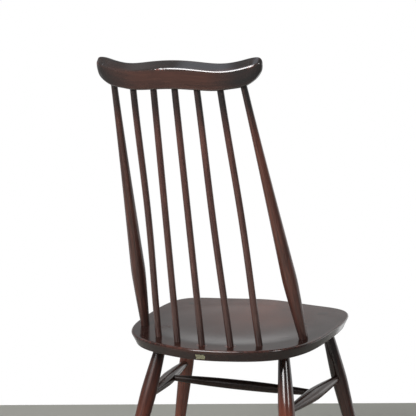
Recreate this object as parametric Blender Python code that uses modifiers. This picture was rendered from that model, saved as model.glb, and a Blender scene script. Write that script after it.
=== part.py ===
"""Spindle-back dining chair in dark stained and lacquered hardwood.

A stick-back chair of the Windsor kind: a dished and raked solid seat carries everything.
Four splayed legs go up through the seat and are wedged from above, and two side stretchers
and a cross stretcher tie them in an H. Two vase-turned posts go down through the seat and
are wedged from below. Five plain spindles stand in blind holes between them, and all seven
are capped by a bent crest rail with a bow-shaped outline and a wide bevel along its back.

Units are metres. The seat faces -Y, the back is at +Y, and the sitter's left is +X. The
sizes are given about the seat's centre on the floor; the last step moves the finished
chair so that its origin is the middle of its footprint, on the floor.
"""

import math

import bmesh
import bpy
import numpy as np
from mathutils import Matrix, Vector

# Clearance left between two pieces that seat on or in each other
FIT = 0.0003

# Seat: outline as radii from its centre, by angle from +X, for the +X half
SEAT_OUTLINE = (
    (-90, 0.2094), (-70, 0.2105), (-55, 0.2269), (-42, 0.2479), (-28, 0.2343),
    (-5, 0.2078), (20, 0.2095), (45, 0.2149), (70, 0.2035), (90, 0.2019),
)
SEAT_HEIGHT = 0.440             # top of the seat where the middle spindle stands
SEAT_RAKE = math.radians(3.2)   # the front is higher than the back
SEAT_THICKNESS = 0.024
SEAT_UNDERCUT = 0.0085          # how far the edge slopes in from top to bottom
SEAT_TOP_ROUND = 0.0040
SEAT_BOTTOM_ROUND = 0.0030
SEAT_DISH_DEPTH = 0.0066
SEAT_DISH_HALF_WIDTH = 0.183
SEAT_DISH_HALF_DEPTH = 0.167
SEAT_DISH_CENTRE_Y = 0.001
SEAT_SOCKET_DEPTH = 0.018

# Legs: centres at the top of the seat's hole and on the floor, for the +X side
FRONT_LEG_TOP = (0.1491, -0.1251)
FRONT_LEG_FOOT = (0.2434, -0.2050)
BACK_LEG_TOP = (0.1278, 0.0629)
BACK_LEG_FOOT = (0.2006, 0.1983)
LEG_TENON_DIAMETER = 0.0210
LEG_SWELL_DIAMETER = 0.0330
LEG_FOOT_DIAMETER = 0.0195
LEG_SWELL_HEIGHT = 0.310
LEG_LOWER_LEAD = 1.6            # 1 is a straight cone; more keeps the foot slim for longer
LEG_UPPER_FULLNESS = 1.25
LEG_TENON_BELOW_SEAT = 0.004

# Stretchers
SIDE_STRETCHER_FRONT_HEIGHT = 0.3156
SIDE_STRETCHER_BACK_HEIGHT = 0.3050
SIDE_STRETCHER_END_DIAMETER = 0.0144
SIDE_STRETCHER_MIDDLE_DIAMETER = 0.0280
CROSS_STRETCHER_Y = -0.031
CROSS_STRETCHER_END_DIAMETER = 0.0126
CROSS_STRETCHER_MIDDLE_DIAMETER = 0.0210
SIDE_STRETCHER_FULLNESS = 1.36  # 1 is a double cone, 2 a smooth swell
CROSS_STRETCHER_FULLNESS = 2.1
STRETCHER_TENON_DEPTH = 0.0200
CROSS_TENON_DEPTH = 0.0160

# Crest rail: height of the middle of its underside, and how far the back leans
RAIL_HEIGHT = 0.9346
BACK_LEAN = math.radians(13.1)
RAIL_BEND_RADIUS = 0.600
RAIL_THICKNESS = 0.0220
RAIL_TOP_WIDTH = 0.0060
RAIL_BEVEL_HEIGHT = 0.0155
RAIL_EDGE_ROUND = 0.0035        # radius of its two lower arrises
RAIL_CREASE_ROUND = 0.0085      # radius where the bevel meets the back
RAIL_TOP_ROUND = 0.0026         # radius of its two upper arrises
RAIL_BEVEL_LIMIT = 0.36         # most of its height that the bevel takes, near the tips
RAIL_TOP_LIMIT = 0.40           # most of its thickness that the flat top takes
RAIL_BACK_CROWN = 0.0008
RAIL_END_ROUND = 0.0220
RAIL_TIP_FORWARD = 0.0024       # its ends are rounded off more at the back
RAIL_SOCKET_DEPTH = 0.018
# Its elevation from the middle to the tip, as (distance from the middle, height above
# RAIL_HEIGHT), with one point of the lower edge for each point of the upper edge
RAIL_UPPER_EDGE = (
    (0.0000, 0.0516), (0.0400, 0.0498), (0.0650, 0.0474), (0.0840, 0.0462), (0.1040, 0.0472),
    (0.1310, 0.0526), (0.1450, 0.0562), (0.1535, 0.0574), (0.1602, 0.0563), (0.1636, 0.0514),
)
RAIL_LOWER_EDGE = (
    (0.0000, 0.0000), (0.0300, -0.0009), (0.0600, -0.0024), (0.0850, -0.0021), (0.1050, 0.0007),
    (0.1320, 0.0066), (0.1450, 0.0144), (0.1530, 0.0210), (0.1585, 0.0275), (0.1628, 0.0358),
)
RAIL_TIP = (0.1642, 0.0449)
RAIL_TILT = math.radians(0.62)  # how far it has settled, its left end the higher

# Back sticks from the middle outwards: angle of the foot from the seat's centre line,
# inset of the foot from the seat's outline, and distance of the top from the rail's middle
MIDDLE_SPINDLE = (0.0, 0.0319, 0.000)
INNER_SPINDLE = (19.2, 0.0328, 0.0430)
OUTER_SPINDLE = (37.6, 0.0367, 0.0865)
POST = (68.5, 0.0249, 0.1288)
SPINDLE_FOOT_DIAMETER = 0.0132
SPINDLE_TOP_DIAMETER = 0.0124
POST_FOOT_DIAMETER = 0.0180
POST_SWELL_DIAMETER = 0.0292
POST_TOP_DIAMETER = 0.0122
POST_SWELL_DISTANCE = 0.135     # along the post, up from the top of the seat
POST_LOWER_FULLNESS = 1.2
POST_UPPER_LEAD = 1.35
POST_TENON_ABOVE_SEAT = 0.002
# Warp of the old spindles at mid length, as (towards +X, towards +Y)
OUTER_LEFT_WARP = (-0.0033, -0.0017)
INNER_RIGHT_WARP = (0.0017, 0.0007)
OUTER_RIGHT_WARP = (-0.0027, -0.0012)

# Wedges
WEDGE_LENGTH = 0.0170
WEDGE_THICK_END = 0.0032
WEDGE_THIN_END = 0.0010
WEDGE_WIDTH_MARGIN = 0.0012     # how much narrower than its tenon a wedge is, each side

# Facets
LEG_SIDES = 20
STICK_SIDES = 14
POST_SIDES = 18
SEAT_SIDES = 72
SEAT_RING_SHARES = (0.15, 0.30, 0.45, 0.58, 0.70, 0.80, 0.88, 0.94)
TURNED_STATIONS = 7
SHORT_TURNED_STATIONS = 6
RAIL_SPAN_STATIONS = 2
RAIL_EDGE_SAMPLES = 400
FILLET_LIMIT = 0.45             # most of a side that a fillet takes

# Cutters: how far they run past what they cut, and the size of the block that saws flush
CUTTER_OVERRUN = 0.012
SAW_WIDTH = 0.060
SAW_DEPTH = 0.040

# Base colour and roughness
BEECH_FINISH = ((0.060, 0.024, 0.017, 1.0), 0.28)
ELM_FINISH = ((0.048, 0.026, 0.020, 1.0), 0.25)
RAIL_FINISH = ((0.062, 0.031, 0.023, 1.0), 0.26)
WEDGE_FINISH = ((0.070, 0.032, 0.022, 1.0), 0.35)


def clear_scene():
    for item in list(bpy.data.objects):
        bpy.data.objects.remove(item, do_unlink=True)


def new_collection(name):
    collection = bpy.data.collections.new(name)
    bpy.context.scene.collection.children.link(collection)
    return collection


def lacquered_wood(name, finish):
    colour, roughness = finish
    material = bpy.data.materials.new(name)
    material.use_nodes = True
    shader = material.node_tree.nodes["Principled BSDF"]
    shader.inputs["Base Color"].default_value = colour
    shader.inputs["Roughness"].default_value = roughness
    shader.inputs["Metallic"].default_value = 0.0
    return material


def place(name, mesh, collection, parent, material=None):
    item = bpy.data.objects.new(name, mesh)
    collection.objects.link(item)
    item.parent = parent
    if material:
        mesh.materials.append(material)
    return item


def mesh_from(build, name):
    """Make a mesh by letting build fill a bmesh, with its faces turned outwards."""
    bm = bmesh.new()
    build(bm)
    bmesh.ops.recalc_face_normals(bm, faces=bm.faces)
    mesh = bpy.data.meshes.new(name)
    bm.to_mesh(mesh)
    bm.free()
    return mesh


# Curves

def closed_spline(knots, values, period):
    """Smooth closed curve through values at the given knots."""
    knots = np.asarray(knots, dtype=float)
    values = np.asarray(values, dtype=float)
    count = len(knots)
    spans = np.diff(np.append(knots, knots[0] + period))
    slopes = (np.roll(values, -1, axis=0) - values) / (spans if values.ndim == 1 else spans[:, None])
    system = np.zeros((count, count))
    for i in range(count):
        system[i, i - 1] += spans[i - 1]
        system[i, i] += 2.0 * (spans[i - 1] + spans[i])
        system[i, (i + 1) % count] += spans[i]
    bends = np.linalg.solve(system, 6.0 * (slopes - np.roll(slopes, 1, axis=0)))

    def at(knot):
        knot = knots[0] + (knot - knots[0]) % period
        i = int(np.searchsorted(knots, knot, side="right")) - 1
        j = (i + 1) % count
        span = spans[i]
        b = (knot - knots[i]) / span
        a = 1.0 - b
        bend = (a ** 3 - a) * bends[i] + (b ** 3 - b) * bends[j]
        return a * values[i] + b * values[j] + bend * span * span / 6.0

    return at


def mirrored_outline():
    inner = SEAT_OUTLINE[1:-1]
    points = list(SEAT_OUTLINE) + [(180 - angle, radius) for angle, radius in reversed(inner)]
    return closed_spline([p[0] for p in points], [p[1] for p in points], 360.0)


SEAT_RADIUS = mirrored_outline()


def swell(start, end, power, share):
    """Diameter that eases from start to end, flattening out as share goes from 0 to 1."""
    return start + (end - start) * (1.0 - (1.0 - share) ** power)


# Seat surfaces

def deck_height(y):
    middle_foot_y = SEAT_RADIUS(90.0) - MIDDLE_SPINDLE[1]
    return SEAT_HEIGHT + (middle_foot_y - y) * math.tan(SEAT_RAKE)


def seat_top(x, y):
    across = x / SEAT_DISH_HALF_WIDTH
    along = (y - SEAT_DISH_CENTRE_Y) / SEAT_DISH_HALF_DEPTH
    reach = across * across + along * along
    if reach >= 1.0:
        return deck_height(y)
    return deck_height(y) - SEAT_DISH_DEPTH * (1.0 - reach) ** 2 * (1.0 + 2.0 * reach)


def seat_underside(x, y):
    return deck_height(y) - SEAT_THICKNESS


def surface_normal(surface, x, y):
    step = 0.001
    rise_x = surface(x + step, y) - surface(x - step, y)
    rise_y = surface(x, y + step) - surface(x, y - step)
    return Vector((-rise_x, -rise_y, 2.0 * step)).normalized()


def seat_mesh():
    """Loft of closed rings, from the middle of the top round the edge to the underside."""
    arc = [math.radians(a) for a in (0, 30, 60, 90)]
    edge = [(SEAT_TOP_ROUND * (1 - math.sin(a)), SEAT_TOP_ROUND * (1 - math.cos(a))) for a in arc]
    low = SEAT_THICKNESS - SEAT_BOTTOM_ROUND
    for a in (0, 45, 90):
        a = math.radians(a)
        inset = SEAT_UNDERCUT + SEAT_BOTTOM_ROUND * (1 - math.cos(a))
        edge.append((inset, low + SEAT_BOTTOM_ROUND * math.sin(a)))
    angles = [360.0 * i / SEAT_SIDES for i in range(SEAT_SIDES)]
    rings = []
    for share in SEAT_RING_SHARES:
        ring = []
        for angle in angles:
            reach = share * SEAT_RADIUS(angle)
            x = reach * math.cos(math.radians(angle))
            y = reach * math.sin(math.radians(angle))
            ring.append((x, y, seat_top(x, y)))
        rings.append(ring)
    for inset, drop in edge:
        ring = []
        for angle in angles:
            reach = SEAT_RADIUS(angle) - inset
            x = reach * math.cos(math.radians(angle))
            y = reach * math.sin(math.radians(angle))
            ring.append((x, y, seat_top(x, y) - drop))
        rings.append(ring)

    def build(bm):
        loops = [[bm.verts.new(point) for point in ring] for ring in rings]
        top = bm.verts.new((0.0, 0.0, seat_top(0.0, 0.0)))
        for i in range(SEAT_SIDES):
            j = (i + 1) % SEAT_SIDES
            bm.faces.new((top, loops[0][i], loops[0][j]))
            for upper, lower in zip(loops, loops[1:]):
                bm.faces.new((upper[i], lower[i], lower[j], upper[j]))
        bm.faces.new(loops[-1])

    return mesh_from(build, "seat")


# Turned pieces and cutters

def axes_along(direction):
    """Rotation whose Z is direction and whose X lies as near as it can to +X, or to +Z."""
    z = direction.normalized()
    across = Vector((1.0, 0.0, 0.0)) if abs(z.x) < 0.9 else Vector((0.0, 0.0, 1.0))
    y = z.cross(across).normalized()
    x = y.cross(z)
    return Matrix((x, y, z)).transposed().to_4x4()


def turned(name, foot, direction, profile, sides, collection, root, material):
    """Lathe a profile of (distance from the foot, diameter) about an axis."""
    mesh = bpy.data.meshes.new(name)
    outline = [(profile[0][0], 0.0)] + list(profile) + [(profile[-1][0], 0.0)]
    points = [(diameter / 2.0, 0.0, distance) for distance, diameter in reversed(outline)]
    mesh.from_pydata(points, [(i, i + 1) for i in range(len(points) - 1)], [])
    item = place(name, mesh, collection, root, material)
    item.matrix_local = Matrix.Translation(foot) @ axes_along(direction)
    screw = item.modifiers.new("lathe", "SCREW")
    screw.axis = "Z"
    screw.steps = sides
    screw.render_steps = sides
    screw.use_merge_vertices = True
    screw.merge_threshold = 0.00001
    screw.use_smooth_shade = True
    screw.use_normal_calculate = False
    return item


def realised(item):
    """Replace an object's modifiers by the mesh that they make."""
    bpy.context.view_layer.update()
    graph = bpy.context.evaluated_depsgraph_get()
    mesh = bpy.data.meshes.new_from_object(item.evaluated_get(graph))
    item.modifiers.clear()
    item.data = mesh
    return item


def hide_cutter(item):
    item.hide_render = True
    item.display_type = "WIRE"
    return item


def drill(name, start, end, diameter, cutters, root):
    """Cylinder cutter between two points."""
    length = (end - start).length
    mesh = mesh_from(lambda bm: bmesh.ops.create_cone(
        bm, cap_ends=True, segments=LEG_SIDES, radius1=diameter / 2.0,
        radius2=diameter / 2.0, depth=length), name)
    item = hide_cutter(place(name, mesh, cutters, root))
    item.matrix_local = Matrix.Translation((start + end) / 2.0) @ axes_along(end - start)
    return item


def slab(name, point, normal, cutters, root):
    """Box cutter that stands on a plane through point and removes all on normal's side."""
    mesh = mesh_from(lambda bm: bmesh.ops.create_cube(
        bm, size=1.0, matrix=Matrix.Diagonal((SAW_WIDTH, SAW_WIDTH, SAW_DEPTH, 1.0))), name)
    item = hide_cutter(place(name, mesh, cutters, root))
    centre = point + normal.normalized() * SAW_DEPTH / 2.0
    item.matrix_local = Matrix.Translation(centre) @ axes_along(normal)
    return item


def cut(item, cutter):
    boolean = item.modifiers.new(cutter.name, "BOOLEAN")
    boolean.operation = "DIFFERENCE"
    boolean.solver = "EXACT"
    boolean.object = cutter


def wedge_mesh(name, width, thick, thin, length, above):
    """Tapered blade, its thin end down and its thick end carried on above the surface."""
    gain = (thick - thin) / length * above

    def build(bm):
        bmesh.ops.create_cube(bm, size=1.0)
        for corner in bm.verts:
            upper = corner.co.z > 0.0
            thickness = thick + gain if upper else thin
            corner.co.x *= width
            corner.co.y *= thickness
            corner.co.z = above if upper else -length

    return mesh_from(build, name)


def wedged_end(name, tenon, surface_point, outward, normal, diameter, kit):
    """Cut a tenon flush with the seat, saw its slot and drive a wedge into it."""
    collection, cutters, root, material = kit
    flush = slab(name + "_flush", surface_point, normal, cutters, root)
    seat_axes = Matrix.Translation(surface_point) @ axes_along(outward)
    width = diameter - 2.0 * WEDGE_WIDTH_MARGIN
    slot_mesh = wedge_mesh(name + "_slot", diameter + CUTTER_OVERRUN, WEDGE_THICK_END + 2.0 * FIT,
                           WEDGE_THIN_END + 2.0 * FIT, WEDGE_LENGTH + FIT, CUTTER_OVERRUN)
    slot = hide_cutter(place(name + "_slot", slot_mesh, cutters, root))
    slot.matrix_local = seat_axes
    cut(tenon, flush)
    cut(tenon, slot)
    blade_mesh = wedge_mesh(name, width, WEDGE_THICK_END, WEDGE_THIN_END, WEDGE_LENGTH, CUTTER_OVERRUN)
    blade = place(name, blade_mesh, collection, root, material)
    blade.matrix_local = seat_axes
    cut(blade, flush)
    return blade


# Legs

def leg_axis(top, foot, side):
    """Foot point, unit direction and length to the seat's top, for a side of +1 or -1."""
    low = Vector((side * foot[0], foot[1], 0.0))
    high = Vector((side * top[0], top[1], seat_top(top[0], top[1])))
    return low, (high - low).normalized(), (high - low).length


def leg_point(top, foot, side, height):
    low, direction, _ = leg_axis(top, foot, side)
    return low + direction * (height / direction.z)


def leg_diameter(height, shoulder_height):
    if height <= LEG_SWELL_HEIGHT:
        share = (height / LEG_SWELL_HEIGHT) ** LEG_LOWER_LEAD
        return LEG_FOOT_DIAMETER + (LEG_SWELL_DIAMETER - LEG_FOOT_DIAMETER) * share
    share = (shoulder_height - height) / (shoulder_height - LEG_SWELL_HEIGHT)
    return swell(LEG_TENON_DIAMETER, LEG_SWELL_DIAMETER, LEG_UPPER_FULLNESS, max(share, 0.0))


def make_leg(name, top, foot, side, kit):
    collection, cutters, root, material = kit
    low, direction, length = leg_axis(top, foot, side)
    under = low + direction * (length - SEAT_THICKNESS / direction.z)
    shoulder_height = seat_underside(under.x, under.y) - LEG_TENON_BELOW_SEAT
    heights = [LEG_SWELL_HEIGHT * i / TURNED_STATIONS for i in range(TURNED_STATIONS + 1)]
    step = (shoulder_height - LEG_SWELL_HEIGHT) / SHORT_TURNED_STATIONS
    heights += [LEG_SWELL_HEIGHT + step * i for i in range(1, SHORT_TURNED_STATIONS + 1)]
    profile = [(-CUTTER_OVERRUN, LEG_FOOT_DIAMETER)]
    profile += [(h / direction.z, leg_diameter(h, shoulder_height)) for h in heights]
    profile.append((length + CUTTER_OVERRUN / 2.0, LEG_TENON_DIAMETER))
    leg = turned(name, low, direction, profile, LEG_SIDES, collection, root, material)
    floor = slab(name + "_floor", low, Vector((0.0, 0.0, -1.0)), cutters, root)
    cut(leg, floor)
    return leg


# Stretchers

def stretcher(name, start, end, start_trim, end_trim, end_diameter, middle_diameter, power,
              collection, root, material):
    """Turned stretcher whose tenons begin start_trim and end_trim in from the two axes."""
    span = end - start
    direction = span.normalized()
    length = span.length
    low, shoulder_low = start_trim
    high, shoulder_high = end_trim
    profile = [(low, end_diameter)]
    middle = (shoulder_low + length - shoulder_high) / 2.0
    reach = middle - shoulder_low
    for i in range(-TURNED_STATIONS, TURNED_STATIONS + 1):
        share = 1.0 - abs(i) / TURNED_STATIONS
        distance = middle + reach * i / TURNED_STATIONS
        profile.append((distance, swell(end_diameter, middle_diameter, power, share)))
    profile.append((length - high, end_diameter))
    return turned(name, start, direction, profile, POST_SIDES, collection, root, material)


def socket_trim(radius, depth):
    """Distances from a round member's axis to a tenon's end and to where it shows."""
    return radius - depth, radius


def make_side_stretcher(name, side, legs, kit):
    collection, cutters, root, material = kit
    back = leg_point(BACK_LEG_TOP, BACK_LEG_FOOT, side, SIDE_STRETCHER_BACK_HEIGHT)
    front = leg_point(FRONT_LEG_TOP, FRONT_LEG_FOOT, side, SIDE_STRETCHER_FRONT_HEIGHT)
    trim = socket_trim(LEG_SWELL_DIAMETER / 2.0, STRETCHER_TENON_DEPTH)
    item = stretcher(name, back, front, trim, trim, SIDE_STRETCHER_END_DIAMETER,
                     SIDE_STRETCHER_MIDDLE_DIAMETER, SIDE_STRETCHER_FULLNESS, collection, root, material)
    direction = (front - back).normalized()
    bottom, mouth = trim
    hole = SIDE_STRETCHER_END_DIAMETER + 2.0 * FIT
    for leg, point, way in ((legs[0], back, direction), (legs[1], front, -direction)):
        cutter = drill(leg.name + "_socket", point + way * (bottom - FIT),
                       point + way * (mouth + CUTTER_OVERRUN), hole, cutters, root)
        cut(leg, cutter)
    return item, back, front


def make_cross_stretcher(sides, kit):
    """Cross stretcher between the swollen middles of the two side stretchers."""
    collection, cutters, root, material = kit
    ends = []
    for item, back, front in sides:
        share = (CROSS_STRETCHER_Y - back.y) / (front.y - back.y)
        ends.append(back.lerp(front, share))
    trim = socket_trim(SIDE_STRETCHER_MIDDLE_DIAMETER / 2.0, CROSS_TENON_DEPTH)
    item = stretcher("cross_stretcher", ends[0], ends[1], trim, trim,
                     CROSS_STRETCHER_END_DIAMETER, CROSS_STRETCHER_MIDDLE_DIAMETER, CROSS_STRETCHER_FULLNESS,
                     collection, root, material)
    direction = (ends[1] - ends[0]).normalized()
    bottom, mouth = trim
    hole = CROSS_STRETCHER_END_DIAMETER + 2.0 * FIT
    for (side, _, _), point, way in zip(sides, ends, (direction, -direction)):
        cutter = drill(side.name + "_socket", point + way * (bottom - FIT),
                       point + way * (mouth + CUTTER_OVERRUN), hole, cutters, root)
        cut(side, cutter)
    return item


# Crest rail

def rail_edges():
    """Closed elevation outline through the two edges, and its knots from tip to tip."""
    right_upper = [(-x, z) for x, z in RAIL_UPPER_EDGE[:0:-1]]
    right_lower = [(-x, z) for x, z in RAIL_LOWER_EDGE[1:]]
    loop = [(-RAIL_TIP[0], RAIL_TIP[1])] + right_upper + list(RAIL_UPPER_EDGE)
    loop += [RAIL_TIP] + list(RAIL_LOWER_EDGE[::-1]) + right_lower
    points = np.array(loop)
    spans = np.hypot(*(np.roll(points, -1, axis=0) - points).T)
    knots = np.concatenate(([0.0], np.cumsum(spans[:-1])))
    outline = closed_spline(knots, points, float(spans.sum()))
    count = len(RAIL_UPPER_EDGE) * 2
    upper = list(knots[:count + 1])
    lower = [float(spans.sum())] + list(knots[:count - 1:-1])
    return outline, upper, lower


def rail_line(x):
    """Middle of the bent rail in plan at a height of RAIL_HEIGHT, and its normal."""
    bend = math.asin(max(-1.0, min(1.0, x / RAIL_BEND_RADIUS)))
    middle_foot_y = SEAT_RADIUS(90.0) - MIDDLE_SPINDLE[1]
    back_y = middle_foot_y + (RAIL_HEIGHT - SEAT_HEIGHT) * math.tan(BACK_LEAN)
    y = back_y - RAIL_BEND_RADIUS * (1.0 - math.cos(bend))
    return Vector((x, y, 0.0)), Vector((math.sin(bend), math.cos(bend), 0.0))


def rail_point(x, offset, rise):
    """Point of the rail: offset is towards its back, rise is above RAIL_HEIGHT."""
    line, normal = rail_line(x)
    point = line + normal * offset
    rise += x * math.tan(RAIL_TILT)
    return Vector((point.x, point.y + rise * math.tan(BACK_LEAN), RAIL_HEIGHT + rise))


def fillet(before, corner, after, radius, facets):
    """Points that round the corner of a section, within a share of its two sides."""
    back, ahead = before - corner, after - corner
    half = back.angle(ahead) / 2.0
    room = FILLET_LIMIT * min(back.length, ahead.length)
    setback = min(radius / math.tan(half), room)
    centre = corner + (back.normalized() + ahead.normalized()).normalized() * setback / math.cos(half)
    spoke = corner + back.normalized() * setback - centre
    turn = Matrix.Rotation((math.pi - 2.0 * half) / facets, 2)
    points = []
    for _ in range(facets + 1):
        points.append(centre + spoke)
        spoke = turn @ spoke
    return points


def rail_section(height, thickness):
    """Section as (offset towards the back, height), anticlockwise from the lower front."""
    half = thickness / 2.0
    bevel = min(RAIL_BEVEL_HEIGHT, RAIL_BEVEL_LIMIT * height)
    top = min(RAIL_TOP_WIDTH, RAIL_TOP_LIMIT * thickness)
    corners = [Vector(corner) for corner in (
        (-half, 0.0), (half, 0.0), (half, height - bevel), (top - half, height), (-half, height))]
    rounds = ((RAIL_EDGE_ROUND, 2), (RAIL_EDGE_ROUND, 2), (RAIL_CREASE_ROUND, 4),
              (RAIL_TOP_ROUND, 2), (RAIL_TOP_ROUND, 2))
    arcs = []
    for i, (radius, facets) in enumerate(rounds):
        arcs.append(fillet(corners[i - 1], corners[i], corners[(i + 1) % len(corners)], radius, facets))
    middle = (arcs[1][-1] + arcs[2][0]) / 2.0
    middle.x += RAIL_BACK_CROWN * thickness / RAIL_THICKNESS
    return arcs[0] + arcs[1] + [middle] + arcs[2] + arcs[3] + arcs[4]


def rail_mesh():
    outline, upper, lower = rail_edges()
    stations = []
    for i in range(len(upper) - 1):
        for k in range(RAIL_SPAN_STATIONS):
            stations.append(i + k / RAIL_SPAN_STATIONS)
    rings = []
    for station in stations[1:]:
        i = int(station)
        share = station - i
        over = outline(upper[i] + (upper[i + 1] - upper[i]) * share)
        under = outline(lower[i] + (lower[i + 1] - lower[i]) * share)
        height = over[1] - under[1]
        to_tip = RAIL_TIP[0] - abs(over[0] + under[0]) / 2.0
        roundness = min(1.0, to_tip / RAIL_END_ROUND)
        fullness = math.sqrt(1.0 - (1.0 - roundness) ** 2)
        thickness = RAIL_THICKNESS * fullness
        forward = RAIL_TIP_FORWARD * (1.0 - fullness)
        ring = []
        for offset, level in rail_section(height, thickness):
            share_up = level / height
            x = under[0] + (over[0] - under[0]) * share_up
            ring.append(rail_point(x, offset - forward, under[1] + level))
        rings.append(ring)

    def build(bm):
        loops = [[bm.verts.new(point) for point in ring] for ring in rings]
        tips = []
        for side in (-1, 1):
            tips.append(bm.verts.new(rail_point(side * RAIL_TIP[0], -RAIL_TIP_FORWARD, RAIL_TIP[1])))
        count = len(loops[0])
        for k in range(count):
            m = (k + 1) % count
            bm.faces.new((tips[0], loops[0][m], loops[0][k]))
            for near, far in zip(loops, loops[1:]):
                bm.faces.new((near[k], near[m], far[m], far[k]))
            bm.faces.new((tips[1], loops[-1][k], loops[-1][m]))

    return mesh_from(build, "crest_rail")


def rail_underside(x):
    """Height of the rail's lower edge above the floor at a distance from its middle."""
    outline, _, lower = rail_edges()
    knots = np.linspace(lower[0], lower[-1], RAIL_EDGE_SAMPLES)
    points = np.array([outline(knot) for knot in knots])
    return RAIL_HEIGHT + float(np.interp(x, points[:, 0], points[:, 1]))


# Back sticks

def stick_ends(stick, side):
    """Foot of a stick on the seat and its top at the rail's underside."""
    angle, inset, rail_x = stick
    bearing = math.radians(90.0 - side * angle)
    reach = SEAT_RADIUS(90.0 - angle) - inset
    x = reach * math.cos(bearing)
    y = reach * math.sin(bearing)
    foot = Vector((x, y, seat_top(x, y)))
    height = rail_underside(side * rail_x)
    top = rail_point(side * rail_x, 0.0, height - RAIL_HEIGHT)
    return foot, top


def warp(item, length, bend):
    """Bend a realised stick sideways along its length, with its ends left straight."""
    local = item.matrix_local.to_3x3().inverted() @ Vector((bend[0], bend[1], 0.0))
    for vertex in item.data.vertices:
        share = min(max(vertex.co.z / length, 0.0), 1.0)
        vertex.co += local * math.sin(math.pi * share) ** 2


def make_spindle(name, stick, side, bend, seat, rail, kit):
    collection, cutters, root, material = kit
    foot, top = stick_ends(stick, side)
    direction = (top - foot).normalized()
    length = (top - foot).length
    profile = [(FIT - SEAT_SOCKET_DEPTH, SPINDLE_FOOT_DIAMETER)]
    stations = TURNED_STATIONS if bend else 1
    for i in range(stations + 1):
        share = i / stations
        diameter = SPINDLE_FOOT_DIAMETER + (SPINDLE_TOP_DIAMETER - SPINDLE_FOOT_DIAMETER) * share
        profile.append((length * share, diameter))
    profile.append((length + RAIL_SOCKET_DEPTH - FIT, SPINDLE_TOP_DIAMETER))
    item = turned(name, foot, direction, profile, STICK_SIDES, collection, root, material)
    if bend:
        warp(realised(item), length, bend)
    seat_hole = drill(name + "_foot_socket", foot - direction * SEAT_SOCKET_DEPTH,
                      foot + direction * CUTTER_OVERRUN, SPINDLE_FOOT_DIAMETER + 2.0 * FIT,
                      cutters, root)
    cut(seat, seat_hole)
    rail_hole = drill(name + "_rail_socket", top - direction * CUTTER_OVERRUN,
                      top + direction * RAIL_SOCKET_DEPTH, SPINDLE_TOP_DIAMETER + 2.0 * FIT,
                      cutters, root)
    cut(rail, rail_hole)
    return item


def make_post(name, side, seat, rail, kit):
    collection, cutters, root, material = kit
    foot, top = stick_ends(POST, side)
    direction = (top - foot).normalized()
    length = (top - foot).length
    swell_reach = POST_SWELL_DISTANCE - POST_TENON_ABOVE_SEAT
    through = SEAT_THICKNESS / direction.z
    profile = [(-through - CUTTER_OVERRUN, POST_FOOT_DIAMETER)]
    for i in range(SHORT_TURNED_STATIONS + 1):
        share = i / SHORT_TURNED_STATIONS
        diameter = swell(POST_FOOT_DIAMETER, POST_SWELL_DIAMETER, POST_LOWER_FULLNESS, share)
        profile.append((POST_TENON_ABOVE_SEAT + swell_reach * share, diameter))
    for i in range(1, TURNED_STATIONS + 1):
        share = i / TURNED_STATIONS
        lead = (1.0 - share) ** POST_UPPER_LEAD
        diameter = POST_TOP_DIAMETER + (POST_SWELL_DIAMETER - POST_TOP_DIAMETER) * lead
        profile.append((POST_SWELL_DISTANCE + (length - POST_SWELL_DISTANCE) * share, diameter))
    profile.append((length + RAIL_SOCKET_DEPTH - FIT, POST_TOP_DIAMETER))
    item = turned(name, foot, direction, profile, POST_SIDES, collection, root, material)
    hole = drill(name + "_mortise", foot - direction * (through + CUTTER_OVERRUN * 2.0),
                 foot + direction * CUTTER_OVERRUN, POST_FOOT_DIAMETER + 2.0 * FIT, cutters, root)
    cut(seat, hole)
    rail_hole = drill(name + "_rail_socket", top - direction * CUTTER_OVERRUN,
                      top + direction * RAIL_SOCKET_DEPTH, POST_TOP_DIAMETER + 2.0 * FIT,
                      cutters, root)
    cut(rail, rail_hole)
    return item, foot, direction


def underside_point(foot, direction):
    """Where a post's axis leaves the seat's underside."""
    drop = SEAT_THICKNESS / (direction.z + direction.y * math.tan(SEAT_RAKE))
    return foot - direction * drop


def centre_on_footprint(root, collection):
    """Move the chair so that the middle of its outline in plan is the origin."""
    bpy.context.view_layer.update()
    graph = bpy.context.evaluated_depsgraph_get()
    low = Vector((math.inf, math.inf))
    high = Vector((-math.inf, -math.inf))
    for item in collection.objects:
        if item.type != "MESH":
            continue
        shown = item.evaluated_get(graph)
        for vertex in shown.data.vertices:
            point = shown.matrix_world @ vertex.co
            for axis in (0, 1):
                low[axis] = min(low[axis], point[axis])
                high[axis] = max(high[axis], point[axis])
    root.location = (-(low.x + high.x) / 2.0, -(low.y + high.y) / 2.0, 0.0)


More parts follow.
